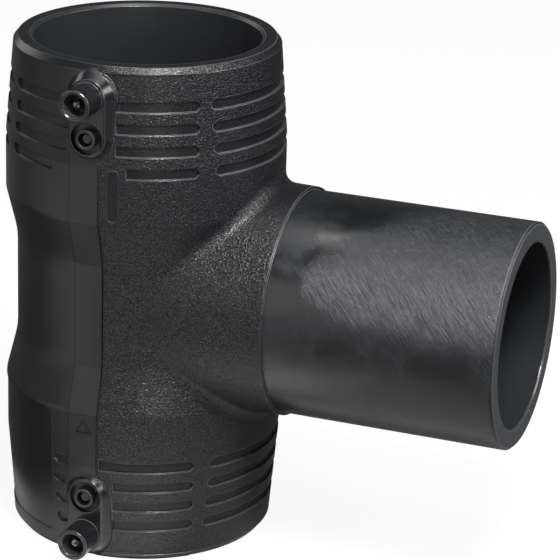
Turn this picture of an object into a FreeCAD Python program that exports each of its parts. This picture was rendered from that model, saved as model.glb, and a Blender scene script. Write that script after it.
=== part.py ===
import FreeCAD, Part
import Sketcher
import math
import os

from FreeCAD import Placement, Rotation, Vector

# Electrofusion tee for 110 mm polyethylene pipe: two sockets in line and a plain spigot branch,
# moulded in one piece around its heating windings and contact pins.
# The tee stands on its lower mouth: the run is along Z, the branch along +X and the terminals face -Y.
# Each piece is drawn around the point where the two pipe axes cross and is lifted by half the run.

SIZES = {
    # Run with its two sockets
    "run_length": 250,
    "socket_bore": 110.8,
    "socket_depth": 75,
    "mouth_lead": 1.3,
    "passage_bore": 91,
    "socket_outside": 137.2,
    "rim_outside": 129.8,
    "rim_chamfer_width": 2.4,
    "rim_chamfer_height": 3,
    "taper_length": 46,
    "shoulder_height": 48.5,
    "shoulder_round": 8,
    "waist_outside": 126,
    "waist_height": 26,
    "waist_round": 45,
    # Branch
    "branch_reach": 196.5,
    "spigot_outside": 110,
    "spigot_wall": 10,
    "spigot_edge": 1.2,
    "spigot_bore_edge": 0.6,
    "collar_reach": 83,
    "collar_outside": 113,
    "neck_outside": 116.6,
    "neck_round": 6,
    # Shallow slots around the sockets
    "slot_rows": 4,
    "slot_height": 5.2,
    "slot_pitch": 10.6,
    "slot_first": 74.7,
    "slot_depth": 1.2,
    "slot_corner": 1.7,
    "front_slot_length": 85.2,
    "side_slot_turn": 26.7,
    "side_slot_left": 18.6,
    "side_slot_right": 20.7,
    "plaque_side_left": 13.7,
    "strip_side_left": 25.4,
    "strip_side_right": 11.1,
    "panel_side_left": 12.4,
    "under_strip_right": 24,
    # Raised land on the rim where a mould slide closed
    "land_turn": 23.5,
    "land_span": 43,
    "land_relief": 0.5,
    # Label panel
    "panel_top": 50,
    "panel_bottom": 116,
    "panel_span": 144,
    "panel_depth": 0.5,
    "panel_corner": 3,
    # Marking strip between the two terminals
    "strip_turn": 2.2,
    "strip_span": 12.8,
    "strip_end": 85,
    "strip_relief": 0.6,
    # Terminal boss with its shroud
    "boss_face": 71.5,
    "boss_radius": 9,
    "boss_flare": 27,
    "boss_root": 9,
    "boss_edge": 0.5,
    "terminal_height": 110.5,
    "shroud_reach": 86,
    "shroud_outside": 15.5,
    "shroud_edge": 0.5,
    "shroud_bore": 11.2,
    "shroud_lead": 0.7,
    "shroud_depth": 12.5,
    # Fusion indicator
    "indicator_height": 91,
    "indicator_well": 15.9,
    "indicator_well_depth": 3.5,
    "indicator_tube": 9.8,
    "indicator_tube_reach": 73.2,
    "indicator_hole": 7,
    "indicator_floor": 61.5,
    "indicator_pin": 5.2,
    "indicator_sunk": 2.2,
    "indicator_foot": 1.5,
    "indicator_clearance": 0.1,
    "indicator_bevel": 0.6,
    # Contact pins
    "pin_diameter": 4,
    "pin_sunk": 3.2,
    "pin_point": 0.5,
    "pin_collar": 5.8,
    "pin_collar_height": 1.5,
    "pin_shank": 4.6,
    "pin_end": 60,
    # Heating wire: a winding in each socket and the link between them
    "winding_cover": 0.7,
    "wire_thickness": 1,
    "winding_top": 111.5,
    "winding_bottom": 73.5,
    "lead_width": 1.2,
    "link_width": 0.8,
}

HALF_RUN = "sizes.run_length / 2"
RIM_EDGE = f"({HALF_RUN} - sizes.rim_chamfer_height)"
TAPER_START = f"({RIM_EDGE} - sizes.taper_length)"
TAPER_RISE = "(sizes.socket_outside - sizes.rim_outside) / 2 / sizes.taper_length"
SHROUD_FLOOR = "(sizes.shroud_reach - sizes.shroud_depth)"
INDICATOR_TOP = "(sizes.indicator_tube_reach - sizes.indicator_sunk)"
WINDING_INSIDE = "(sizes.socket_bore / 2 + sizes.winding_cover)"
WINDING_MIDDLE = f"({WINDING_INSIDE} + sizes.wire_thickness / 2)"
WINDING_OUTSIDE = f"({WINDING_INSIDE} + sizes.wire_thickness)"

# How far a cutting profile stands past the skin that it opens, and an added one sinks into it
OVERLAP = 2
# How far a point may lie from an edge that it is said to be on
EDGE_ERROR = 0.01
# Slack around the seam between neck and run when its edges are picked out
SEAM_SLACK = 0.1
# Size at which a shape is first drawn, before its dimensions take hold
DRAWN = 10
# Parts into which an edge is divided to sample it
EDGE_PARTS = 4

ORIGIN = (-1, 1)
LINE_START = 1
LINE_END = 2
CENTRE = 3
H_AXIS = -1
V_AXIS = -2


def add_sheet(doc):
    """The driving sizes, in millimetres and degrees, one cell and one alias each."""
    sheet = doc.addObject("Spreadsheet::Sheet", "sizes")
    for row, (name, size) in enumerate(SIZES.items(), start=1):
        sheet.set(f"A{row}", name)
        sheet.set(f"B{row}", str(size))
        sheet.setAlias(f"B{row}", name)
    doc.recompute()


def add_body(doc, name):
    """A body that is lifted so that the tee stands on its lower mouth."""
    body = doc.addObject("PartDesign::Body", name)
    body.setExpression("Placement.Base.z", HALF_RUN)
    return body


def plane(body, role):
    """One of the body's own origin planes."""
    return next(item for item in body.Origin.OriginFeatures if item.Role == role)


def add_sketch(body, name, role="XZ_Plane", turn=None, lift=None, rise=None):
    """A sketch on an origin plane, turned about its upright axis, lifted off the plane or moved up it."""
    sketch = body.newObject("Sketcher::SketchObject", name)
    sketch.AttachmentSupport = [(plane(body, role), "")]
    sketch.MapMode = "FlatFace"
    if turn:
        side, angle = turn
        sketch.AttachmentOffset = Placement(Vector(), Rotation(Vector(0, side, 0), DRAWN))
        sketch.setExpression("AttachmentOffset.Rotation.Angle", angle)
    if lift:
        sketch.setExpression("AttachmentOffset.Base.z", lift)
    if rise:
        sketch.setExpression("AttachmentOffset.Base.y", rise)
    return sketch


def hold(sketch, kind, geometry, expression):
    """A dimension from the sketch's origin, bound to an expression; zero puts the point on the axis."""
    index, point = geometry
    if expression == "0":
        axis = V_AXIS if kind == "DistanceX" else H_AXIS
        sketch.addConstraint(Sketcher.Constraint("PointOnObject", index, point, axis))
        return
    bound = sketch.addConstraint(Sketcher.Constraint(kind, *ORIGIN, index, point, float(DRAWN)))
    sketch.setExpression(f"Constraints[{bound}]", expression)


def polygon(sketch, corners):
    """A closed outline through corners given as pairs of expressions."""
    count = len(corners)
    first = sketch.GeometryCount
    step = 2 * math.pi / count
    ring = [Vector(math.cos(step * i), math.sin(step * i), 0) * DRAWN for i in range(count)]
    for i in range(count):
        sketch.addGeometry(Part.LineSegment(ring[i], ring[(i + 1) % count]))
    for i in range(count):
        ends = (first + i, LINE_END, first + (i + 1) % count, LINE_START)
        sketch.addConstraint(Sketcher.Constraint("Coincident", *ends))
    for i, (across, up) in enumerate(corners):
        hold(sketch, "DistanceX", (first + i, LINE_START), across)
        hold(sketch, "DistanceY", (first + i, LINE_START), up)


def stadium(sketch, low, high, radius):
    """An upright oblong with round ends, between two heights on the sketch's upright axis."""
    side = DRAWN / 2
    top = Part.Circle(Vector(0, DRAWN, 0), Vector(0, 0, 1), side)
    bottom = Part.Circle(Vector(0, -DRAWN, 0), Vector(0, 0, 1), side)
    sketch.addGeometry(Part.ArcOfCircle(top, 0, math.pi))
    sketch.addGeometry(Part.LineSegment(Vector(-side, DRAWN, 0), Vector(-side, -DRAWN, 0)))
    sketch.addGeometry(Part.ArcOfCircle(bottom, math.pi, 2 * math.pi))
    sketch.addGeometry(Part.LineSegment(Vector(side, -DRAWN, 0), Vector(side, DRAWN, 0)))
    for i in range(4):
        sketch.addConstraint(Sketcher.Constraint("Tangent", i, LINE_END, (i + 1) % 4, LINE_START))
    sketch.addConstraint(Sketcher.Constraint("Equal", 0, 2))
    bound = sketch.addConstraint(Sketcher.Constraint("Radius", 0, side))
    sketch.setExpression(f"Constraints[{bound}]", radius)
    for index, up in ((0, high), (2, low)):
        hold(sketch, "DistanceX", (index, CENTRE), "0")
        hold(sketch, "DistanceY", (index, CENTRE), up)


def turn_solid(body, kind, name, sketch, axis, span=None):
    """A revolution or groove of a sketch about one of its axes, full or over a span about the sketch."""
    feature = body.newObject(f"PartDesign::{kind}", name)
    feature.Profile = sketch
    feature.ReferenceAxis = (sketch, [axis])
    feature.Angle = 360
    if span:
        feature.Midplane = True
        feature.setExpression("Angle", span)
    return feature


def cut_outward(body, name, sketch):
    """A pocket that runs from its sketch outward, past the widest part of the run."""
    pocket = body.newObject("PartDesign::Pocket", name)
    pocket.Profile = sketch
    pocket.Reversed = True
    pocket.setExpression("Length", "sizes.socket_outside")
    return pocket


def mirror(body, name, originals, role):
    """Copies of earlier features across an origin plane."""
    copies = body.newObject("PartDesign::Mirrored", name)
    copies.Originals = originals
    copies.MirrorPlane = (plane(body, role), [""])
    body.Tip = copies
    return copies


def edges_where(shape, test):
    """Names of the edges whose every sampled point passes a test."""
    names = []
    for number, edge in enumerate(shape.Edges, start=1):
        first, last = edge.ParameterRange
        step = (last - first) / EDGE_PARTS
        samples = [edge.valueAt(first + step * i) for i in range(EDGE_PARTS + 1)]
        if all(test(point) for point in samples):
            names.append(f"Edge{number}")
    return names


def add_fillet(body, name, base, test, radius):
    """A fillet on the edges of a feature that pass a test."""
    body.Document.recompute()
    fillet = body.newObject("PartDesign::Fillet", name)
    fillet.Base = (base, edges_where(base.Shape, test))
    fillet.setExpression("Radius", radius)
    return fillet


def mirrored_outline(upper):
    """An outline's upper half, from the centre of its top, followed by the same half below."""
    return upper + [(across, f"-({up})") for across, up in reversed(upper)]


def taper_radius(up):
    """Radius of the tapered socket at a height over the crossing of the axes."""
    return f"(sizes.socket_outside / 2 - {TAPER_RISE} * ({up} - {TAPER_START}))"


def flank(offset):
    """Upper half of the run's outline between rim and waist, moved out by an expression."""
    return [
        (f"sizes.socket_outside / 2 {offset}", TAPER_START),
        (f"sizes.socket_outside / 2 {offset}", "sizes.shoulder_height"),
        (f"sizes.waist_outside / 2 {offset}", "sizes.waist_height"),
    ]


def add_run(body):
    """Outer form of the run: two tapered sockets with chamfered rims and a slimmer waist."""
    rim = [
        ("0", HALF_RUN),
        ("sizes.rim_outside / 2 - sizes.rim_chamfer_width", HALF_RUN),
        ("sizes.rim_outside / 2", RIM_EDGE),
    ]
    sketch = add_sketch(body, "run_outline")
    polygon(sketch, mirrored_outline(rim + flank("")))
    return turn_solid(body, "Revolution", "run_form", sketch, "V_Axis")


def round_run(body, run):
    """Soft bends above and below the waist, and firmer ones where the sockets begin."""
    def at_height(height):
        return lambda point: abs(abs(point.z) - height) < EDGE_ERROR

    waist = add_fillet(body, "waist_rounds", run, at_height(SIZES["waist_height"]), "sizes.waist_round")
    add_fillet(body, "shoulder_rounds", waist, at_height(SIZES["shoulder_height"]), "sizes.shoulder_round")


def slot_end(across, up, outward, square):
    """Corners of one end of a slot, cut off unless the end stands square against a flank."""
    half = "sizes.slot_height / 2"
    if square:
        return [(across, f"{up} + {outward} * {half}"), (across, f"{up} - {outward} * {half}")]
    inset = f"{across} - {outward} * sizes.slot_corner"
    level = f"{outward} * ({half} - sizes.slot_corner)"
    return [
        (inset, f"{up} + {outward} * {half}"),
        (across, f"{up} + {level}"),
        (across, f"{up} - {level}"),
        (inset, f"{up} - {outward} * {half}"),
    ]


def slot_rows(sketch, side, ends, waist_ends=None, square=""):
    """Rows of shallow slots in the upper socket, side 1, or in the lower one, side -1.

    The row nearest the waist can have ends of its own, and one end can stand square against a flank.
    """
    for row in range(SIZES["slot_rows"]):
        up = f"{side} * (sizes.slot_first + {row} * sizes.slot_pitch)"
        left, right = waist_ends if waist_ends and row == 0 else ends
        corners = slot_end(right, up, 1, square == "right") + slot_end(left, up, -1, square == "left")
        polygon(sketch, corners)


def add_slots(body):
    """Shallow slots, cut the way each mould slide pulls; the label panel leaves little room below."""
    flank_left = "-sizes.side_slot_left"
    flank_right = "sizes.side_slot_left"
    near = add_sketch(body, "near_slots", turn=(1, "sizes.side_slot_turn"))
    near_ends = (flank_left, "sizes.side_slot_right")
    slot_rows(near, 1, near_ends, ("-sizes.plaque_side_left", "sizes.side_slot_right"), "left")
    slot_rows(near, -1, near_ends, ("-sizes.strip_side_left", "sizes.side_slot_right"), "left")
    near_cut = cut_outward(body, "near_slot_cut", near)
    far = add_sketch(body, "far_slots", turn=(-1, "sizes.side_slot_turn"))
    far_ends = ("-sizes.side_slot_right", flank_right)
    slot_rows(far, 1, far_ends, ("-sizes.side_slot_right", "sizes.strip_side_right"), "right")
    far_cut = cut_outward(body, "far_slot_cut", far)
    mirror(body, "slots_behind", [near_cut, far_cut], "XZ_Plane")
    short = add_sketch(body, "short_slots", turn=(-1, "sizes.side_slot_turn"))
    short_ends = ("sizes.panel_side_left", flank_right)
    slot_rows(short, -1, short_ends, ("sizes.panel_side_left", "sizes.under_strip_right"), "right")
    cut_outward(body, "short_slot_cut", short)
    front_ends = ("-sizes.front_slot_length / 2", "sizes.front_slot_length / 2")
    front = add_sketch(body, "branch_side_slots", turn=(1, "90"))
    for side in (1, -1):
        slot_rows(front, side, front_ends)
    cut_outward(body, "branch_side_slot_cut", front)
    back = add_sketch(body, "back_slots", turn=(-1, "90"))
    slot_rows(back, 1, front_ends)
    cut_outward(body, "back_slot_cut", back)


def add_core(body):
    """Floor of the slots: the run again, set in by their depth."""
    crown = [("0", RIM_EDGE), ("sizes.rim_outside / 2 - sizes.slot_depth", RIM_EDGE)]
    sketch = add_sketch(body, "core_outline")
    polygon(sketch, mirrored_outline(crown + flank("- sizes.slot_depth")))
    return turn_solid(body, "Revolution", "core_form", sketch, "V_Axis")


def add_panel(body):
    """Label panel, sunk into the lower socket on the side away from the branch, with round corners."""
    sketch = add_sketch(body, "panel_outline", turn=(1, "180"))
    outside = f"sizes.socket_outside / 2 + {OVERLAP}"
    polygon(sketch, [
        (outside, "-sizes.panel_top"),
        ("sizes.socket_outside / 2 - sizes.panel_depth", "-sizes.panel_top"),
        ("sizes.socket_outside / 2 - sizes.panel_depth", f"-{TAPER_START}"),
        (f"{taper_radius('sizes.panel_bottom')} - sizes.panel_depth", "-sizes.panel_bottom"),
        (outside, "-sizes.panel_bottom"),
    ])
    panel = turn_solid(body, "Groove", "panel_cut", sketch, "V_Axis", "sizes.panel_span")
    half_span = math.radians(SIZES["panel_span"]) / 2
    ends = (SIZES["panel_top"], SIZES["panel_bottom"])

    def on_corner(point):
        turn = math.atan2(abs(point.y), -point.x)
        off_end = min(abs(point.z + end) for end in ends)
        return abs(turn - half_span) < EDGE_ERROR and off_end < EDGE_ERROR

    return add_fillet(body, "panel_corners", panel, on_corner, "sizes.panel_corner")


def add_branch(body):
    """Branch: a drafted neck, a collar step and the plain spigot with a broken edge."""
    sketch = add_sketch(body, "branch_outline")
    polygon(sketch, [
        ("0", "0"),
        ("0", "sizes.neck_outside / 2"),
        ("sizes.collar_reach", "sizes.collar_outside / 2"),
        ("sizes.collar_reach", "sizes.spigot_outside / 2"),
        ("sizes.branch_reach - sizes.spigot_edge", "sizes.spigot_outside / 2"),
        ("sizes.branch_reach", "sizes.spigot_outside / 2 - sizes.spigot_edge"),
        ("sizes.branch_reach", "0"),
    ])
    return turn_solid(body, "Revolution", "branch_form", sketch, "H_Axis")


def round_neck(body, branch):
    """Fillet along the whole curve where the neck meets the run."""
    widest = SIZES["neck_outside"] / 2 + SEAM_SLACK
    slimmest = SIZES["collar_outside"] / 2 - SEAM_SLACK
    reach = SIZES["socket_outside"] / 2 + SEAM_SLACK

    def on_seam(point):
        off_branch_axis = math.hypot(point.y, point.z)
        off_run_axis = math.hypot(point.x, point.y)
        return point.x > 0 and slimmest < off_branch_axis < widest and off_run_axis < reach

    return add_fillet(body, "neck_round", branch, on_seam, "sizes.neck_round")


def add_strip(body):
    """Marking strip that runs down the waist from one terminal boss to the other, a little proud."""
    outside = "+ sizes.strip_relief"
    root = f"sizes.waist_outside / 2 - {OVERLAP}"
    end = [
        (root, "sizes.strip_end"),
        (f"{taper_radius('sizes.strip_end')} {outside}", "sizes.strip_end"),
    ]
    sketch = add_sketch(body, "strip_outline", turn=(-1, "90 + sizes.strip_turn"))
    polygon(sketch, mirrored_outline(end + flank(outside)))
    return turn_solid(body, "Revolution", "strip_form", sketch, "V_Axis", "sizes.strip_span")


def add_land(body):
    """Raised band on the rim's chamfer, between the parting lines of the slide beside the terminals."""
    root = f"sizes.rim_outside / 2 - sizes.rim_chamfer_width - {OVERLAP}"
    sketch = add_sketch(body, "land_outline", turn=(-1, "90 - sizes.land_turn"))
    polygon(sketch, [
        (root, HALF_RUN),
        ("sizes.rim_outside / 2 - sizes.rim_chamfer_width + sizes.land_relief", HALF_RUN),
        ("sizes.rim_outside / 2 + sizes.land_relief", RIM_EDGE),
        (root, RIM_EDGE),
    ])
    return turn_solid(body, "Revolution", "land_form", sketch, "V_Axis", "sizes.land_span")


def add_boss(body):
    """Oblong boss under the terminal and its indicator, its flank flared into the socket."""
    sketch = add_sketch(body, "boss_outline", lift="sizes.boss_face")
    stadium(sketch, "sizes.indicator_height", "sizes.terminal_height", "sizes.boss_radius")
    boss = body.newObject("PartDesign::Pad", "boss_form")
    boss.Profile = sketch
    boss.Reversed = True
    boss.setExpression("Length", "sizes.boss_root")
    boss.setExpression("TaperAngle", "sizes.boss_flare")
    return boss


def turn_outward(body, kind, name, height, corners):
    """A round feature about a level axis that points at -Y, from pairs of reach and radius."""
    sketch = add_sketch(body, f"{name}_outline", role="YZ_Plane", rise=height)
    polygon(sketch, [(f"-({reach})", radius) for reach, radius in corners])
    return turn_solid(body, kind, name, sketch, "H_Axis")


def add_terminal(body):
    """Terminal shroud and fusion indicator on their boss, as far as the moulding goes."""
    boss = add_boss(body)
    face = "sizes.boss_face"
    height = "sizes.indicator_height"
    well_floor = f"{face} - sizes.indicator_well_depth"
    mouth = f"{face} + {OVERLAP}"
    well = turn_outward(body, "Groove", "indicator_well_cut", height, [
        (mouth, "0"),
        (mouth, "sizes.indicator_well / 2"),
        (well_floor, "sizes.indicator_well / 2"),
        (well_floor, "0"),
    ])
    tube = turn_outward(body, "Revolution", "indicator_tube_form", height, [
        ("sizes.indicator_tube_reach", "0"),
        ("sizes.indicator_tube_reach", "sizes.indicator_tube / 2"),
        (f"{well_floor} - {OVERLAP}", "sizes.indicator_tube / 2"),
        (f"{well_floor} - {OVERLAP}", "0"),
    ])
    hole = turn_outward(body, "Groove", "indicator_hole_cut", height, [
        ("sizes.indicator_tube_reach", "0"),
        ("sizes.indicator_tube_reach", "sizes.indicator_hole / 2"),
        ("sizes.indicator_floor", "sizes.indicator_hole / 2"),
        ("sizes.indicator_floor", "0"),
    ])
    height = "sizes.terminal_height"
    shroud = turn_outward(body, "Revolution", "shroud_form", height, [
        ("sizes.shroud_reach", "0"),
        ("sizes.shroud_reach", "sizes.shroud_outside / 2 - sizes.shroud_edge"),
        ("sizes.shroud_reach - sizes.shroud_edge", "sizes.shroud_outside / 2"),
        (f"{face} - {OVERLAP}", "sizes.shroud_outside / 2"),
        (f"{face} - {OVERLAP}", "0"),
    ])
    cavity = turn_outward(body, "Groove", "shroud_cavity_cut", height, [
        ("sizes.shroud_reach", "0"),
        ("sizes.shroud_reach", "sizes.shroud_bore / 2 + sizes.shroud_lead"),
        ("sizes.shroud_reach - sizes.shroud_lead", "sizes.shroud_bore / 2"),
        (SHROUD_FLOOR, "sizes.shroud_bore / 2"),
        (SHROUD_FLOOR, "0"),
    ])
    return [boss, well, tube, hole, shroud, cavity]


def break_boss_edges(body, bosses):
    """Broken edge around each boss's face."""
    face = SIZES["boss_face"]
    radius = SIZES["boss_radius"]
    low = SIZES["indicator_height"]
    high = SIZES["terminal_height"]

    def on_edge(point):
        level = abs(point.z)
        nearest = min(max(level, low), high)
        off_centre = math.hypot(point.x, level - nearest)
        return abs(point.y + face) < EDGE_ERROR and abs(off_centre - radius) < EDGE_ERROR

    body.Document.recompute()
    chamfer = body.newObject("PartDesign::Chamfer", "boss_edges")
    chamfer.Base = (bosses, edges_where(bosses.Shape, on_edge))
    chamfer.setExpression("Size", "sizes.boss_edge")
    return chamfer


def bore_run(body):
    """Two socket bores with a lead at the mouth, and the narrower passage between their stops."""
    stop = f"({HALF_RUN} - sizes.socket_depth)"
    sketch = add_sketch(body, "bore_outline")
    polygon(sketch, mirrored_outline([
        ("0", HALF_RUN),
        ("sizes.socket_bore / 2 + sizes.mouth_lead", HALF_RUN),
        ("sizes.socket_bore / 2", f"{HALF_RUN} - sizes.mouth_lead"),
        ("sizes.socket_bore / 2", stop),
        ("sizes.passage_bore / 2", stop),
    ]))
    return turn_solid(body, "Groove", "run_bore", sketch, "V_Axis")


def bore_branch(body):
    """Bore of the spigot, open into the passage, with its edge broken at the end."""
    sketch = add_sketch(body, "branch_bore_outline")
    radius = "sizes.spigot_outside / 2 - sizes.spigot_wall"
    polygon(sketch, [
        ("0", "0"),
        ("0", radius),
        ("sizes.branch_reach - sizes.spigot_bore_edge", radius),
        ("sizes.branch_reach", f"{radius} + sizes.spigot_bore_edge"),
        ("sizes.branch_reach", "0"),
    ])
    return turn_solid(body, "Groove", "branch_bore", sketch, "H_Axis")


def build_moulding(doc):
    """The polyethylene moulding, still solid where the metal pieces lie in it."""
    body = add_body(doc, "moulding")
    run = add_run(body)
    round_run(body, run)
    add_slots(body)
    add_core(body)
    add_panel(body)
    branch = add_branch(body)
    round_neck(body, branch)
    add_strip(body)
    land = add_land(body)
    bosses = mirror(body, "lower_terminal", [land] + add_terminal(body), "XY_Plane")
    break_boss_edges(body, bosses)
    bore_run(body)
    bore_branch(body)
    return body


def build_winding(doc, name, side):
    """Winding in one socket, its turns side by side as one band, with the lead out to its contact pin."""
    body = add_body(doc, name)
    sketch = add_sketch(body, f"{name}_outline")
    low = f"{side} * sizes.winding_bottom"
    high = f"{side} * sizes.winding_top"
    polygon(sketch, [
        (WINDING_INSIDE, low),
        (WINDING_INSIDE, high),
        (WINDING_OUTSIDE, high),
        (WINDING_OUTSIDE, low),
    ])
    turn_solid(body, "Revolution", f"{name}_turns", sketch, "V_Axis")
    lead = add_sketch(body, f"{name}_lead_outline", lift=WINDING_MIDDLE)
    edge = "sizes.lead_width / 2"
    level = f"{side} * sizes.terminal_height"
    polygon(lead, [
        (edge, f"{level} - {edge}"),
        (edge, f"{level} + {edge}"),
        (f"-{edge}", f"{level} + {edge}"),
        (f"-{edge}", f"{level} - {edge}"),
    ])
    pad = body.newObject("PartDesign::Pad", f"{name}_lead")
    pad.Profile = lead
    pad.setExpression("Length", f"sizes.pin_end - {WINDING_MIDDLE}")
    return body


def build_link(doc):
    """The stretch between both windings, up the wall behind the marking strip."""
    link = doc.addObject("Part::Box", "winding_link")
    link.setExpression("Length", "sizes.link_width")
    link.setExpression("Width", "sizes.link_width")
    link.setExpression("Height", "2 * sizes.winding_bottom")
    link.setExpression("Placement.Base.x", "-sizes.link_width / 2")
    link.setExpression("Placement.Base.y", f"-{WINDING_MIDDLE} - sizes.link_width / 2")
    link.setExpression("Placement.Base.z", f"{HALF_RUN} - sizes.winding_bottom")
    return link


def build_wire(doc):
    """The heating wire, one piece from one contact pin to the other."""
    wire = doc.addObject("Part::MultiFuse", "heating_wire")
    wire.Shapes = [
        build_winding(doc, "upper_winding", 1),
        build_link(doc),
        build_winding(doc, "lower_winding", -1),
    ]
    return wire


def build_terminal_pin(doc, name, side):
    """A brass contact pin: shank in the wall, collar on the cavity's floor and the free pin."""
    body = add_body(doc, name)
    tip = "(sizes.shroud_reach - sizes.pin_sunk)"
    collar = f"{SHROUD_FLOOR} + sizes.pin_collar_height"
    turn_outward(body, "Revolution", f"{name}_form", f"{side} * sizes.terminal_height", [
        ("sizes.pin_end", "0"),
        ("sizes.pin_end", "sizes.pin_shank / 2"),
        (SHROUD_FLOOR, "sizes.pin_shank / 2"),
        (SHROUD_FLOOR, "sizes.pin_collar / 2"),
        (collar, "sizes.pin_collar / 2"),
        (collar, "sizes.pin_diameter / 2"),
        (f"{tip} - sizes.pin_point", "sizes.pin_diameter / 2"),
        (tip, "sizes.pin_diameter / 2 - sizes.pin_point"),
        (tip, "0"),
    ])
    return body


def build_indicator(doc, name, side):
    """A fusion indicator: a small plunger that stands sunk in its tube until the melt lifts it."""
    body = add_body(doc, name)
    foot = "sizes.indicator_floor + sizes.indicator_foot"
    foot_radius = "sizes.indicator_hole / 2 - sizes.indicator_clearance"
    turn_outward(body, "Revolution", f"{name}_form", f"{side} * sizes.indicator_height", [
        ("sizes.indicator_floor", "0"),
        ("sizes.indicator_floor", foot_radius),
        (foot, foot_radius),
        (foot, "sizes.indicator_pin / 2"),
        (f"{INDICATOR_TOP} - sizes.indicator_bevel", "sizes.indicator_pin / 2"),
        (INDICATOR_TOP, "sizes.indicator_pin / 2 - sizes.indicator_bevel"),
        (INDICATOR_TOP, "0"),
    ])
    return body


def build_tee(doc):
    """All pieces, with the moulding hollowed where the metal lies in it."""
    moulding = build_moulding(doc)
    pieces = [
        build_wire(doc),
        build_terminal_pin(doc, "upper_terminal_pin", 1),
        build_terminal_pin(doc, "lower_terminal_pin", -1),
    ]
    doc.recompute()
    metal = doc.addObject("Part::MultiFuse", "moulded_in_metal")
    metal.Shapes = pieces
    tee = doc.addObject("Part::Cut", "tee_body")
    tee.Base = moulding
    tee.Tool = metal
    indicators = [
        build_indicator(doc, "upper_fusion_indicator", 1),
        build_indicator(doc, "lower_fusion_indicator", -1),
    ]
    doc.recompute()
    return [tee] + pieces + indicators


def check(doc, pieces):
    """Stop before anything is written if an object failed or a piece isn't one valid solid."""
    for item in doc.Objects:
        if "Invalid" in item.State or "Error" in item.State:
            raise RuntimeError(f"{item.Name} could not be built: {item.State}")
    for piece in pieces:
        shape = piece.Shape
        if shape.isNull() or not shape.isValid() or len(shape.Solids) != 1:
            raise RuntimeError(f"{piece.Label} isn't one valid solid")


doc = FreeCAD.newDocument("electrofusion_tee")
add_sheet(doc)
pieces = build_tee(doc)
check(doc, pieces)
os.makedirs("parts", exist_ok=True)
for piece in pieces:
    piece.Shape.exportStep(f"parts/{piece.Label}.step")
    print(piece.Label, round(piece.Shape.Volume), len(piece.Shape.Faces))
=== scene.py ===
import math

import bmesh
import bpy
from mathutils import Matrix, Vector


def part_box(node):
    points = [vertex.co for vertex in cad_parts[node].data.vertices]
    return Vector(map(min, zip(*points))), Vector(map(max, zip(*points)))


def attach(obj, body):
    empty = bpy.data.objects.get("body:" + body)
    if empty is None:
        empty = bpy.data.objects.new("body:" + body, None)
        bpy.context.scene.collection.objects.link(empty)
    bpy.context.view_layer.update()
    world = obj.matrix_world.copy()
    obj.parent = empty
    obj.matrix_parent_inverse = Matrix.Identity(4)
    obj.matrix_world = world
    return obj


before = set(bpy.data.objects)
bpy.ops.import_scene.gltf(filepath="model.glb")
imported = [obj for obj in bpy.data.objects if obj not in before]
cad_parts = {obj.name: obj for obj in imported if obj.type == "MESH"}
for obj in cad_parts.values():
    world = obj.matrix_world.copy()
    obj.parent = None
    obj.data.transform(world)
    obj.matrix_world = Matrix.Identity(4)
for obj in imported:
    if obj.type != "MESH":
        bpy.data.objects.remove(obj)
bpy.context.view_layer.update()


# Moulded body: run, sockets, neck, branch, terminal shrouds and indicator tubes in one piece.
# It is black polyethylene, injection moulded round the heating wire. The half of the mould with the
# branch was spark eroded; the other half and what formed the bosses and the spigot were polished.
def linear(hex_colour):
    """An sRGB hex colour as the linear RGBA that a shader socket takes."""
    levels = [int(hex_colour[i:i + 2], 16) / 255 for i in (1, 3, 5)]
    return [c / 12.92 if c <= 0.04045 else ((c + 0.055) / 1.055) ** 2.4 for c in levels] + [1]


def add(tree, kind, settings=None, inputs=None):
    """A node with its settings; an input is a value, or the node or output that feeds it."""
    node = tree.nodes.new("ShaderNode" + kind)
    for name, value in (settings or {}).items():
        setattr(node, name, value)
    for key, value in (inputs or {}).items():
        if isinstance(value, bpy.types.Node):
            value = value.outputs[0]
        if isinstance(value, bpy.types.NodeSocket):
            tree.links.new(value, node.inputs[key])
        else:
            node.inputs[key].default_value = value
    return node


def new_material(name):
    """An empty node material and its tree."""
    material = bpy.data.materials.new(name)
    material.use_nodes = True
    material.node_tree.nodes.clear()
    return material, material.node_tree


def give_material(part, material):
    """A part of the frame takes its material."""
    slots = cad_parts[part].data.materials
    slots.clear()
    slots.append(material)


def weighted(tree, start, *parts):
    """A start value plus several values, each times its weight."""
    for value, weight in parts:
        start = add(tree, "Math", {"operation": "MULTIPLY_ADD"}, {0: value, 1: weight, 2: start})
    return start


def strongest(tree, *parts):
    """The largest of several values, each times its weight, and at least 0."""
    largest = 0
    for part in parts:
        largest = add(tree, "Math", {"operation": "MAXIMUM"}, {0: largest, 1: weighted(tree, 0, part)})
    return largest


def region(tree, *limits):
    """The share of a surface that lies inside all limits, with soft borders.

    A limit is a share, or a value with its level outside and its level inside.
    """
    share = None
    for limit in limits:
        if isinstance(limit, tuple):
            value, outside, inside = limit
            limit = add(tree, "MapRange", {"interpolation_type": "SMOOTHSTEP"}, {
                "Value": value, "From Min": min(outside, inside), "From Max": max(outside, inside),
                "To Min": float(outside > inside), "To Max": float(outside < inside)})
        share = limit if share is None else add(tree, "Math", {"operation": "MULTIPLY"}, {0: share, 1: limit})
    return share


def distance(tree, beside, above):
    """How far a point is from an axis, by its two offsets from it."""
    flat = add(tree, "CombineXYZ", inputs={0: beside, 1: above})
    return add(tree, "VectorMath", {"operation": "LENGTH"}, {0: flat}).outputs["Value"]


def layered(tree, colour, *layers):
    """A hex colour with further hex colours laid over it, each by its share."""
    result = linear(colour)
    for share, over in layers:
        result = add(tree, "Mix", {"data_type": "RGBA"}, {0: share, 6: result, 7: linear(over)}).outputs[2]
    return result


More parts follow.
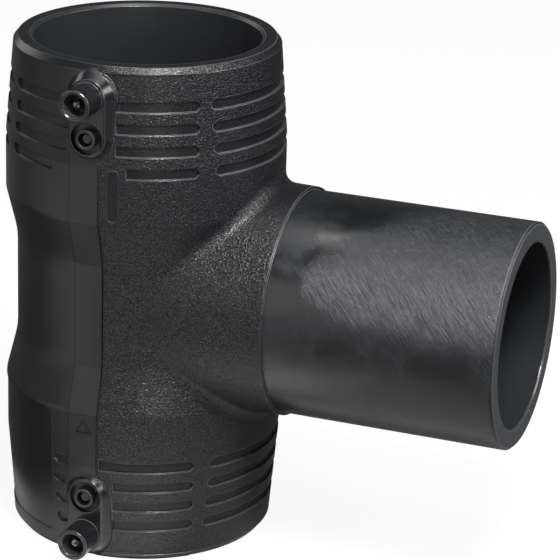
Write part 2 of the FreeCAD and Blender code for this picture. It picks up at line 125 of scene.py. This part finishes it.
MM = 0.001
MIDDLE = 125 * MM
SOCKET_RADIUS = 68.6 * MM
SPIGOT_RADIUS = 55 * MM
POLYETHYLENE_IOR = 1.51
polyethylene, tree = new_material("black_polyethylene_moulded")
place = add(tree, "TexCoord").outputs["Object"]
across, back, up = add(tree, "SeparateXYZ", inputs={0: place}).outputs
level = weighted(tree, -MIDDLE, (up, 1))
height = add(tree, "Math", {"operation": "ABSOLUTE"}, {0: level})
aside = add(tree, "Math", {"operation": "ABSOLUTE"}, {0: across})
off_run = distance(tree, across, back)
off_branch = distance(tree, level, back)

# Where the mould was polished: the spigot past the collar, both bores, and the terminal bosses with
# their shrouds. There the skin is smooth and mirrors softly.
SPIGOT_START = 83 * MM
RUN_BORE = 57.2 * MM
BRANCH_BORE = 45.8 * MM
BRANCH_BORE_START = 20 * MM
BOSS_HALF_WIDTH = 13.2 * MM
BOSS_SIDE = -66 * MM
BOSS_START = 78.5 * MM
BOSS_ROOT = 76.2 * MM
BOSS_ROOT_TAPER = 0.085
spigot = region(tree, (across, SPIGOT_START, SPIGOT_START + 0.3 * MM))
run_bore = region(tree, (off_run, RUN_BORE + 0.3 * MM, RUN_BORE))
branch_bore = region(
    tree,
    (off_branch, BRANCH_BORE + 0.4 * MM, BRANCH_BORE),
    (across, BRANCH_BORE_START, BRANCH_BORE_START + 10 * MM))
inside = strongest(tree, (run_bore, 1), (branch_bore, 1))
boss = region(
    tree,
    (aside, BOSS_HALF_WIDTH + 1 * MM, BOSS_HALF_WIDTH),
    (back, BOSS_SIDE, BOSS_SIDE - 0.5 * MM),
    (height, BOSS_START, BOSS_START + 2 * MM),
    (weighted(tree, 0, (off_run, 1), (height, BOSS_ROOT_TAPER)), BOSS_ROOT, BOSS_ROOT + 0.4 * MM))
smooth = strongest(tree, (spigot, 1), (inside, 1), (boss, 1))

# A smooth panel is polished brighter still. It wraps the lower socket on the side away from the
# branch, up to two upright planes at the angle below.
PANEL_ANGLE = math.radians(18)
PANEL_TOP = -50 * MM
PANEL_BOTTOM = -116 * MM
behind_or_before = add(tree, "Math", {"operation": "ABSOLUTE"}, {0: back})
panel = region(
    tree,
    (weighted(tree, 0, (across, 1), (behind_or_before, math.tan(PANEL_ANGLE))), 0.5 * MM, -0.5 * MM),
    (level, PANEL_TOP, PANEL_TOP - 0.5 * MM),
    (level, PANEL_BOTTOM, PANEL_BOTTOM + 0.5 * MM),
    (off_run, 60 * MM, 61 * MM))

# Grain of the spark eroded half: pebbles in relief, their tops painted lighter, a painted sparkle, and
# their valleys painted darker, painted shade. They are drawn 0.8 mm apart, a little coarser than the real
# 0.5 mm, so that they show. The slots' floors, which lie below the tapered socket round them, have half of
# it.
PEBBLE = 0.8 * MM
CRUMB = 0.5 * MM
GRAIN_START = 4.9 * MM
TAPER_START = 76 * MM
SOCKET_TAPER = 0.0804
FIRST_SLOT = 70.5 * MM
LAST_SLOT = 110 * MM
pebbles = add(tree, "TexNoise", inputs={"Vector": place, "Scale": 1 / PEBBLE, "Detail": 1})
crumbs = add(tree, "TexNoise", inputs={"Vector": place, "Scale": 1 / CRUMB, "Detail": 2})
branch_half = region(tree, (across, GRAIN_START, GRAIN_START + 0.4 * MM))
past_start = strongest(tree, (weighted(tree, -TAPER_START, (height, 1)), 1))
depth = weighted(tree, SOCKET_RADIUS, (past_start, -SOCKET_TAPER), (off_run, -1))
in_slot = region(
    tree,
    (depth, 0.1 * MM, 0.3 * MM),
    (height, FIRST_SLOT, FIRST_SLOT + 0.5 * MM),
    (height, LAST_SLOT, LAST_SLOT - 0.5 * MM))
grained = region(
    tree, branch_half, weighted(tree, 1, (smooth, -1)), weighted(tree, 1, (in_slot, -0.5)))
# Painted sparkle on the grain's tops and painted shade in its valleys.
painted_sparkle = region(tree, grained, (crumbs, 0.5, 0.7))
painted_valley_shade = region(tree, grained, (crumbs, 0.55, 0.38))

# Scratches: the spigot's end was scraped and handled. A scuffed field of crossing scratches, grey and
# dull, has a wandering border to the smooth skin; the rest is scuffed lightly in patches.
FIELD_SLANT = math.radians(50)
FIELD_CORNER = (95 * MM, 28 * MM)
LOWER_EDGE = 51 * MM
LOWER_EDGE_FALL = 0.4
SCUFFED_PATCH = 40 * MM
WANDER = 16 * MM
WANDER_LENGTH = 20 * MM
turn = add(tree, "Math", {"operation": "ARCTAN2"}, {0: level, 1: weighted(tree, 0, (back, -1))})
round_spigot = weighted(tree, 0, (turn, SPIGOT_RADIUS))


def scratches(slant, spacing, length, faint, deep):
    """Fine lines over the spigot at a slant from its length."""
    cos, sin = math.cos(slant), math.sin(slant)
    along = weighted(tree, 0, (across, cos / length), (round_spigot, sin / length))
    beside = weighted(tree, 0, (round_spigot, cos / spacing), (across, -sin / spacing))
    flat = add(tree, "CombineXYZ", inputs={0: along, 1: beside, 2: slant})
    lines = add(tree, "TexNoise", inputs={"Vector": flat, "Scale": 1, "Detail": 3, "Roughness": 0.65})
    return region(tree, (lines, faint, deep))


cloudy = add(tree, "TexNoise", inputs={"Vector": place, "Scale": 1 / WANDER_LENGTH, "Detail": 2})
wander = weighted(tree, -WANDER / 2, (cloudy, WANDER))
across_slant, round_slant = math.sin(FIELD_SLANT), math.cos(FIELD_SLANT)
from_collar = weighted(
    tree, FIELD_CORNER[1] * round_slant - FIELD_CORNER[0] * across_slant,
    (wander, 1), (across, across_slant), (round_spigot, -round_slant))
lower_edge = strongest(tree, (weighted(tree, LOWER_EDGE, (across, -LOWER_EDGE_FALL)), 1))
above_edge = weighted(tree, 0, (wander, 1), (round_spigot, 1), (lower_edge, -1))
field = region(tree, (from_collar, -10 * MM, 13 * MM), (above_edge, -2 * MM, 20 * MM))
patchy = add(tree, "TexNoise", inputs={
    "Vector": place, "Scale": 1 / SCUFFED_PATCH, "Detail": 3, "Roughness": 0.6})
patches = region(tree, (patchy, 0.4, 0.62))
scuffed = region(
    tree, strongest(tree, (field, 1), (patches, 0.42)), spigot, weighted(tree, 1, (inside, -1)))
long_scratches = scratches(
    slant=math.radians(-48), spacing=0.22 * MM, length=12 * MM, faint=0.4, deep=0.75)
short_scratches = scratches(
    slant=math.radians(38), spacing=0.25 * MM, length=6 * MM, faint=0.48, deep=0.8)
score = weighted(tree, 0, (long_scratches, 1), (short_scratches, 0.6))
score_depth = region(tree, score, scuffed)

# Every moulded edge is a little round, and the edges facing up or to the right are painted light
# grey, a painted highlight along slots, steps and mouths. It is stronger on the grained half and the bosses.
EDGE_RADIUS = 0.6 * MM
soft_edges = add(tree, "Bevel", {"samples": 6}, {"Radius": EDGE_RADIUS})
turned_by = add(tree, "VectorMath", {"operation": "DOT_PRODUCT"}, {
    0: soft_edges, 1: add(tree, "NewGeometry").outputs["Normal"]}).outputs["Value"]
edge = region(tree, (turned_by, 0.995, 0.93))
edge_right, _, edge_up = add(tree, "SeparateXYZ", inputs={0: soft_edges}).outputs
facing_light = strongest(
    tree, (region(tree, (edge_up, 0.15, 0.45)), 1), (region(tree, (edge_right, 0.55, 0.75)), 1))
crisp = weighted(tree, 0.3, (strongest(tree, (branch_half, 1), (boss, 1)), 0.7))
# Painted highlight: the edges that face up or to the right are painted light grey.
painted_edge_highlight = region(tree, edge, crisp, facing_light)

# Parting line of the mould: a fine groove down the front, between the bosses, painted as shade,
# a dark line that reflects little.
GROOVE_LEFT = 4.5 * MM
GROOVE_RIGHT = 5.5 * MM
GROOVE_TOP = 78 * MM
GROOVE_BOTTOM = -80 * MM
# Painted shade: a dark line down the front.
painted_groove_shade = region(
    tree,
    (across, GROOVE_LEFT, GROOVE_LEFT + 0.3 * MM),
    (across, GROOVE_RIGHT, GROOVE_RIGHT - 0.3 * MM),
    (back, -50 * MM, -52 * MM),
    (level, GROOVE_TOP, GROOVE_TOP - 0.5 * MM),
    (level, GROOVE_BOTTOM, GROOVE_BOTTOM + 0.5 * MM))

# Shroud bores: grey flecks round the contact pins, painted light that lifts the shade inside them.
SHROUD_BORE = 5.7 * MM
pin_low, pin_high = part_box("upper_terminal_pin")
pin_height = (pin_low[2] + pin_high[2]) / 2 - MIDDLE
off_pin = distance(tree, across, weighted(tree, -pin_height, (height, 1)))
flecks = add(tree, "TexNoise", inputs={"Vector": place, "Scale": 1 / PEBBLE, "Detail": 3})
painted_shroud_light = region(tree, flecks, boss, (off_pin, SHROUD_BORE + 0.3 * MM, SHROUD_BORE))

# Relief: grain over the flow ripples of the smooth skin, 3 mm across, and the scratches over both.
GRAIN_DEPTH = 0.15 * MM
SCRATCH_DEPTH = 0.08 * MM
RIPPLE = 3 * MM
pebbled = weighted(tree, 0, (region(tree, (pebbles, 0.35, 0.68)), 1), (crumbs, 0.5))
grain_height = region(tree, pebbled, grained, weighted(tree, 1, (edge, -1)))
ripples = add(tree, "TexNoise", inputs={"Vector": place, "Scale": 1 / RIPPLE, "Detail": 3})
relief = add(tree, "Bump", inputs={
    "Strength": 1, "Distance": GRAIN_DEPTH, "Normal": soft_edges,
    "Height": weighted(tree, 0, (grain_height, 1), (ripples, 0.06))})
relief = add(tree, "Bump", inputs={
    "Strength": 1, "Distance": SCRATCH_DEPTH, "Normal": relief, "Height": score_depth})

# Finish: deep black with a soft sheen, glossier where the mould was polished, duller where scuffed
# and just past the collar. Painted shade: the valleys and the parting line are darker, and they and the
# slots' floors on the grained half reflect less.
CLOUD = 24 * MM
SPIGOT_END = 196.4 * MM
cloud = add(tree, "TexNoise", inputs={
    "Vector": place, "Scale": 1 / CLOUD, "Detail": 4, "Roughness": 0.6})
near_collar = region(tree, spigot, (across, 115 * MM, 95 * MM))
rough = weighted(
    tree, 0.26, (cloud, 0.12), (grained, -0.07), (edge, -0.08), (spigot, -0.13), (scuffed, 0.16),
    (panel, -0.14), (boss, -0.1), (near_collar, 0.04))
sawn = region(tree, (across, SPIGOT_END - 0.3 * MM, SPIGOT_END))
# Lighter grey: real wear at the sawn end and in the scratches; painted light in the bores, on the grain tops
# and in the shroud flecks.
wear_and_painted_light = strongest(tree, (inside, 0.14), (sawn, 0.65), (score_depth, 0.7), (painted_sparkle, 0.26), (painted_shroud_light, 0.9))
# Painted shade darkens the valleys and the parting line; the painted highlight lightens the edges.
black = layered(
    tree, "#0f1011",
    (cloud, "#161719"),
    (strongest(tree, (painted_valley_shade, 1), (painted_groove_shade, 1)), "#08080a"),
    (wear_and_painted_light, "#4a4b4e"),
    (weighted(tree, 0, (painted_edge_highlight, 0.45)), "#808184"))
shaded = strongest(tree, (painted_groove_shade, 1), (painted_valley_shade, 0.5), (region(tree, in_slot, branch_half), 0.4))
surface = add(tree, "BsdfPrincipled", inputs={
    "Base Color": black, "Roughness": rough, "IOR": POLYETHYLENE_IOR, "Normal": relief,
    "Specular IOR Level": weighted(tree, 0.5, (shaded, -0.5))})
add(tree, "OutputMaterial", inputs={"Surface": surface})
give_material("tee_body", polyethylene)

# Marking plaque: a small oblong field under the upper boss, moulded with the body, with a low
# bead round it. It is black polyethylene from a blasted insert of the mould, which leaves it matt.
PLAQUE_TURN = math.radians(9.8)
PLAQUE_LEVEL = 63.4 * MM
PLAQUE_LENGTH = 25.6 * MM
PLAQUE_WIDTH = 5.6 * MM
PLAQUE_LIFT = 0.12 * MM
PLAQUE_FOOT = -0.1 * MM
BEAD_LIFT = 0.1 * MM
BEAD_RADIUS = 0.28 * MM
BLAST_GRIT = 0.6 * MM
END_STEPS = 12
plaque_black, tree = new_material("black_polyethylene_matt")
place = add(tree, "TexCoord").outputs["Object"]
grit = add(tree, "TexNoise", inputs={"Vector": place, "Scale": 1 / BLAST_GRIT, "Detail": 3})
bump = add(tree, "Bump", inputs={"Strength": 1, "Distance": 0.15 * MM, "Height": grit})
surface = add(tree, "BsdfPrincipled", inputs={
    "Base Color": layered(tree, "#08080a", (grit, "#1c1d20")), "Roughness": 0.5,
    "IOR": POLYETHYLENE_IOR, "Specular IOR Level": 0.25, "Normal": bump})
add(tree, "OutputMaterial", inputs={"Surface": surface})


def plaque_point(beside, above, lift):
    """A point over the socket at a distance along and up from the plaque's middle."""
    turn = PLAQUE_TURN + beside / SOCKET_RADIUS
    radius = SOCKET_RADIUS + lift
    return radius * math.sin(turn), -radius * math.cos(turn), MIDDLE + PLAQUE_LEVEL + above


def raised_line(name, points, radius, material):
    """A closed round bead through points."""
    curve = bpy.data.curves.new(name, "CURVE")
    curve.dimensions = "3D"
    curve.bevel_depth = radius
    curve.bevel_resolution = 2
    line = curve.splines.new("POLY")
    line.points.add(len(points) - 1)
    for point, position in zip(line.points, points):
        point.co = (*position, 1)
    line.use_cyclic_u = True
    bead = bpy.data.objects.new(name, curve)
    bead.data.materials.append(material)
    bpy.context.scene.collection.objects.link(bead)
    return bead


outline = []
for end in (1, -1):
    for step in range(END_STEPS + 1):
        angle = math.pi * step / END_STEPS
        outline.append((
            end * PLAQUE_WIDTH / 2 * math.cos(angle),
            end * ((PLAQUE_LENGTH - PLAQUE_WIDTH) / 2 + PLAQUE_WIDTH / 2 * math.sin(angle))))
mesh = bmesh.new()
rim, foot = [
    [mesh.verts.new(plaque_point(beside, above, lift)) for beside, above in outline]
    for lift in (PLAQUE_LIFT, PLAQUE_FOOT)]
for i in range(len(outline)):
    j = (i + 1) % len(outline)
    mesh.faces.new((foot[i], foot[j], rim[j], rim[i]))
mesh.faces.new(rim)
mesh.faces.new(foot[::-1])
bmesh.ops.recalc_face_normals(mesh, faces=mesh.faces)
field_mesh = bpy.data.meshes.new("marking_plaque")
mesh.to_mesh(field_mesh)
mesh.free()
marking_plaque = bpy.data.objects.new("marking_plaque", field_mesh)
marking_plaque.data.materials.append(plaque_black)
bpy.context.scene.collection.objects.link(marking_plaque)
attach(marking_plaque, "root")
bead_points = [plaque_point(beside, above, BEAD_LIFT) for beside, above in outline]
plaque_bead = raised_line("plaque_bead", bead_points, BEAD_RADIUS, polyethylene)
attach(plaque_bead, "root")

# Triangle: a small raised outline above the lower boss, moulded with the body. It takes the plaque's
# darker matt material, painted shade along its raised sides, and its line follows the round face that
# it stands on.
TRIANGLE_RADIUS = 69.5 * MM
TRIANGLE_BEAD = 0.4 * MM
TRIANGLE_CORNERS = [(-2.2, 73.3), (-6.0, 66.8), (1.6, 66.8)]
SIDE_STEPS = 8
triangle_points = []
for i in range(3):
    (x0, z0), (x1, z1) = TRIANGLE_CORNERS[i], TRIANGLE_CORNERS[(i + 1) % 3]
    for step in range(SIDE_STEPS):
        x = (x0 + (x1 - x0) * step / SIDE_STEPS) * MM
        z = (z0 + (z1 - z0) * step / SIDE_STEPS) * MM
        triangle_points.append((x, -math.sqrt(TRIANGLE_RADIUS ** 2 - x ** 2), z))
triangle_mark = raised_line("triangle_mark", triangle_points, TRIANGLE_BEAD, plaque_black)
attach(triangle_mark, "root")

# Heating wire: resistance wire wound side by side in the wall of each socket, bright drawn metal.
# It lies wholly inside the moulding and is seen only where the tee is cut open. Its turns are drawn
# coarser than the wire, so that they show there.
WAVE_SCALE = 1 / (2 * math.pi * 3 * MM)
wire_metal, tree = new_material("resistance_wire_drawn")
place = add(tree, "TexCoord").outputs["Object"]
turns = add(tree, "TexWave", {"bands_direction": "Z"}, {"Vector": place, "Scale": WAVE_SCALE})
bump = add(tree, "Bump", inputs={"Distance": 0.3 * MM, "Height": turns.outputs["Fac"]})
surface = add(tree, "BsdfPrincipled", inputs={
    "Base Color": linear("#b9b3a8"), "Metallic": 1, "Roughness": 0.3, "Normal": bump})
add(tree, "OutputMaterial", inputs={"Surface": surface})
give_material("heating_wire", wire_metal)

# Contact pins: turned brass with a dull tin plating, one in the middle of each shroud.
# Their tips stand sunk below the shroud's rim. The plating is drawn dark grey with lighter spots.
PLATING_SPOT = 1.5 * MM
plated, tree = new_material("brass_tin_plated")
place = add(tree, "TexCoord").outputs["Object"]
spots = add(tree, "TexNoise", inputs={"Vector": place, "Scale": 1 / PLATING_SPOT, "Detail": 3})
surface = add(tree, "BsdfPrincipled", inputs={
    "Base Color": layered(tree, "#2c2c30", (region(tree, (spots, 0.42, 0.6)), "#85858b")),
    "Metallic": 1, "Roughness": weighted(tree, 0.32, (spots, 0.2))})
add(tree, "OutputMaterial", inputs={"Surface": surface})
give_material("upper_terminal_pin", plated)
give_material("lower_terminal_pin", plated)

# Fusion indicators: small plungers of the same black polyethylene, one in each tube.
# They stand sunk until the melt lifts them. Their moulded tips are fine-grained and a little greyer.
TIP_GRAIN = 0.5 * MM
plunger, tree = new_material("black_polyethylene_plunger")
place = add(tree, "TexCoord").outputs["Object"]
fine = add(tree, "TexNoise", inputs={"Vector": place, "Scale": 1 / TIP_GRAIN, "Detail": 3})
bump = add(tree, "Bump", inputs={"Strength": 0.3, "Distance": 0.05 * MM, "Height": fine})
surface = add(tree, "BsdfPrincipled", inputs={
    "Base Color": linear("#2a2b2d"), "Roughness": 0.38, "IOR": POLYETHYLENE_IOR, "Normal": bump})
add(tree, "OutputMaterial", inputs={"Surface": surface})
give_material("upper_fusion_indicator", plunger)
give_material("lower_fusion_indicator", plunger)

# Floor and backdrop: one sheet of white paper that curves up behind the tee. It shows white to the
# camera and keeps a soft shadow. For all other rays it is toned by place, painted light and shade that
# black plastic mirrors: bright close in front of the neck and at the front left, dim at the left and behind.
SHEET_SIDE = 3.0
SHEET_FRONT = -3.0
SWEEP_START = 2.4
SWEEP_RADIUS = 0.6
SHEET_TOP = 2.4
SWEEP_STEPS = 12
PAPER_GLOW = 0.92
MIRRORED_GLOW = 0.05
paper, tree = new_material("white_paper")
rays = add(tree, "LightPath").outputs
spot = add(tree, "NewGeometry").outputs["Position"]
spot_x, spot_y, _ = add(tree, "SeparateXYZ", inputs={0: spot}).outputs
from_middle = add(tree, "VectorMath", {"operation": "LENGTH"}, {0: spot}).outputs["Value"]
near_neck = region(
    tree, (spot_y, -0.045, -0.075), (spot_y, -0.17, -0.11), (spot_x, -0.06, -0.01), (spot_x, 0.1, 0.05))
front_left = region(tree, (spot_x, -0.05, -0.15), (spot_y, -0.1, -0.25))
to_left = region(tree, (spot_x, -0.03, -0.1), (spot_y, -0.25, -0.1), (from_middle, 0.08, 0.105))
behind_tee = region(tree, (spot_y, -0.03, 0.15))
far_left = region(tree, (from_middle, 0.35, 0.6), (spot_x, 0, -0.2))
dim = region(
    tree, strongest(tree, (to_left, 1), (behind_tee, 1)), weighted(tree, 1, (far_left, -1)))
# Painted light and shade on the paper: lighter and darker patches by place, for reflections and bounce.
tone = layered(
    tree, "#a8a8a8",
    (region(tree, (from_middle, 0.15, 0.3)), "#686868"),
    (front_left, "#c0c0c0"),
    (dim, "#303030"),
    (near_neck, "#f0f0f0"),
    (rays["Is Camera Ray"], "#e8e8e8"))
seen = strongest(
    tree,
    (rays["Is Camera Ray"], 1),
    (rays["Is Glossy Ray"], MIRRORED_GLOW),
    (rays["Is Transmission Ray"], 1))
sheet = add(tree, "BsdfDiffuse", inputs={"Color": tone})
glow = add(tree, "Emission", inputs={"Color": linear("#ffffff"), "Strength": 1})
surface = add(tree, "MixShader", inputs={0: weighted(tree, 0, (seen, PAPER_GLOW)), 1: sheet, 2: glow})
add(tree, "OutputMaterial", inputs={"Surface": surface})
profile = [(SHEET_FRONT, 0)]
for step in range(SWEEP_STEPS + 1):
    angle = math.pi / 2 * step / SWEEP_STEPS
    profile.append((SWEEP_START + SWEEP_RADIUS * math.sin(angle), SWEEP_RADIUS * (1 - math.cos(angle))))
profile.append((SWEEP_START + SWEEP_RADIUS, SHEET_TOP))
mesh = bmesh.new()
left, right = [
    [mesh.verts.new((side, depth, rise)) for depth, rise in profile] for side in (-SHEET_SIDE, SHEET_SIDE)]
for i in range(len(profile) - 1):
    mesh.faces.new((left[i], right[i], right[i + 1], left[i + 1])).smooth = True
paper_mesh = bpy.data.meshes.new("backdrop")
mesh.to_mesh(paper_mesh)
mesh.free()
backdrop = bpy.data.objects.new("backdrop", paper_mesh)
backdrop.data.materials.append(paper)
bpy.context.scene.collection.objects.link(backdrop)

# Light: a dim surround, a small key light high at the front right, a strip overhead along the branch,
# and softboxes at the right, at the front and at the left, before and behind the tee.
SURROUND = 0.03
world = bpy.data.worlds.new("dim_surround")
bpy.context.scene.world = world
world.use_nodes = True
tree = world.node_tree
tree.nodes.clear()
rays = add(tree, "LightPath").outputs
strength = add(tree, "Math", {"operation": "MAXIMUM"}, {0: rays["Is Camera Ray"], 1: SURROUND})
glow = add(tree, "Background", inputs={"Color": linear("#ffffff"), "Strength": strength})
add(tree, "OutputWorld", inputs={"Surface": glow})


def add_softbox(name, place, target, width, height, power):
    """A rectangular area light that faces a point."""
    light = bpy.data.lights.new(name, "AREA")
    light.shape = "RECTANGLE"
    light.size = width
    light.size_y = height
    light.energy = power
    lamp = bpy.data.objects.new(name, light)
    lamp.location = place
    lamp.rotation_euler = (Vector(target) - Vector(place)).to_track_quat("-Z", "Y").to_euler()
    bpy.context.scene.collection.objects.link(lamp)


add_softbox(
    "key_light", place=(0.5, -0.6, 1.25), target=(0.03, 0, 0.15), width=0.35, height=0.35, power=30)
add_softbox(
    "softbox_right", place=(1.25, 0.1, 0.75), target=(0.03, 0, 0.15), width=0.8, height=0.45, power=10)
add_softbox(
    "strip_overhead", place=(0.1, 0, 1.35), target=(0.1, 0, 0.15), width=1.4, height=0.2, power=6)
add_softbox(
    "softbox_left_front", place=(-0.6, -1.2, 0.6), target=(0, 0, 0.13), width=1, height=1, power=4)
add_softbox(
    "softbox_front", place=(0.75, -1.23, 0.4), target=(0.03, 0, 0.13), width=0.4, height=0.5, power=4)
add_softbox(
    "softbox_left_behind", place=(-1.35, 0.45, 0.8), target=(0.03, 0, 0.13), width=0.8, height=0.8, power=3.5)

# Camera: a long lens at the photograph's viewing angle, turned to the right of the front, raised and
# slightly tilted. Its place and lens were fitted to the outline and edges of the tee.
TURNED = math.radians(20.17)
RAISED = math.radians(19.97)
ROLL = math.radians(1.72)
AIM_RIGHT = 67.15 * MM
AIM_UP = 0.12 * MM
CAMERA_DISTANCE = 1396.4 * MM
FOCAL_PIXELS = 2807
PICTURE_PIXELS = 560
SENSOR_WIDTH = 36
rightward = Vector((math.cos(TURNED), math.sin(TURNED), 0))
toward = Vector((
    math.sin(TURNED) * math.cos(RAISED), -math.cos(TURNED) * math.cos(RAISED), math.sin(RAISED)))
upward = toward.cross(rightward)
aim = rightward * AIM_RIGHT + upward * AIM_UP + Vector((0, 0, MIDDLE))
tilted_right = rightward * math.cos(ROLL) + upward * math.sin(ROLL)
tilted_up = upward * math.cos(ROLL) - rightward * math.sin(ROLL)
lens = bpy.data.cameras.new("camera")
lens.sensor_width = SENSOR_WIDTH
lens.lens = FOCAL_PIXELS / PICTURE_PIXELS * SENSOR_WIDTH
lens.clip_end = 20
camera = bpy.data.objects.new("camera", lens)
camera.matrix_world = Matrix.Translation(aim + toward * CAMERA_DISTANCE) @ Matrix(
    (tilted_right, tilted_up, toward)).transposed().to_4x4()
bpy.context.scene.collection.objects.link(camera)
bpy.context.scene.camera = camera
bpy.context.scene.view_settings.view_transform = "Standard"
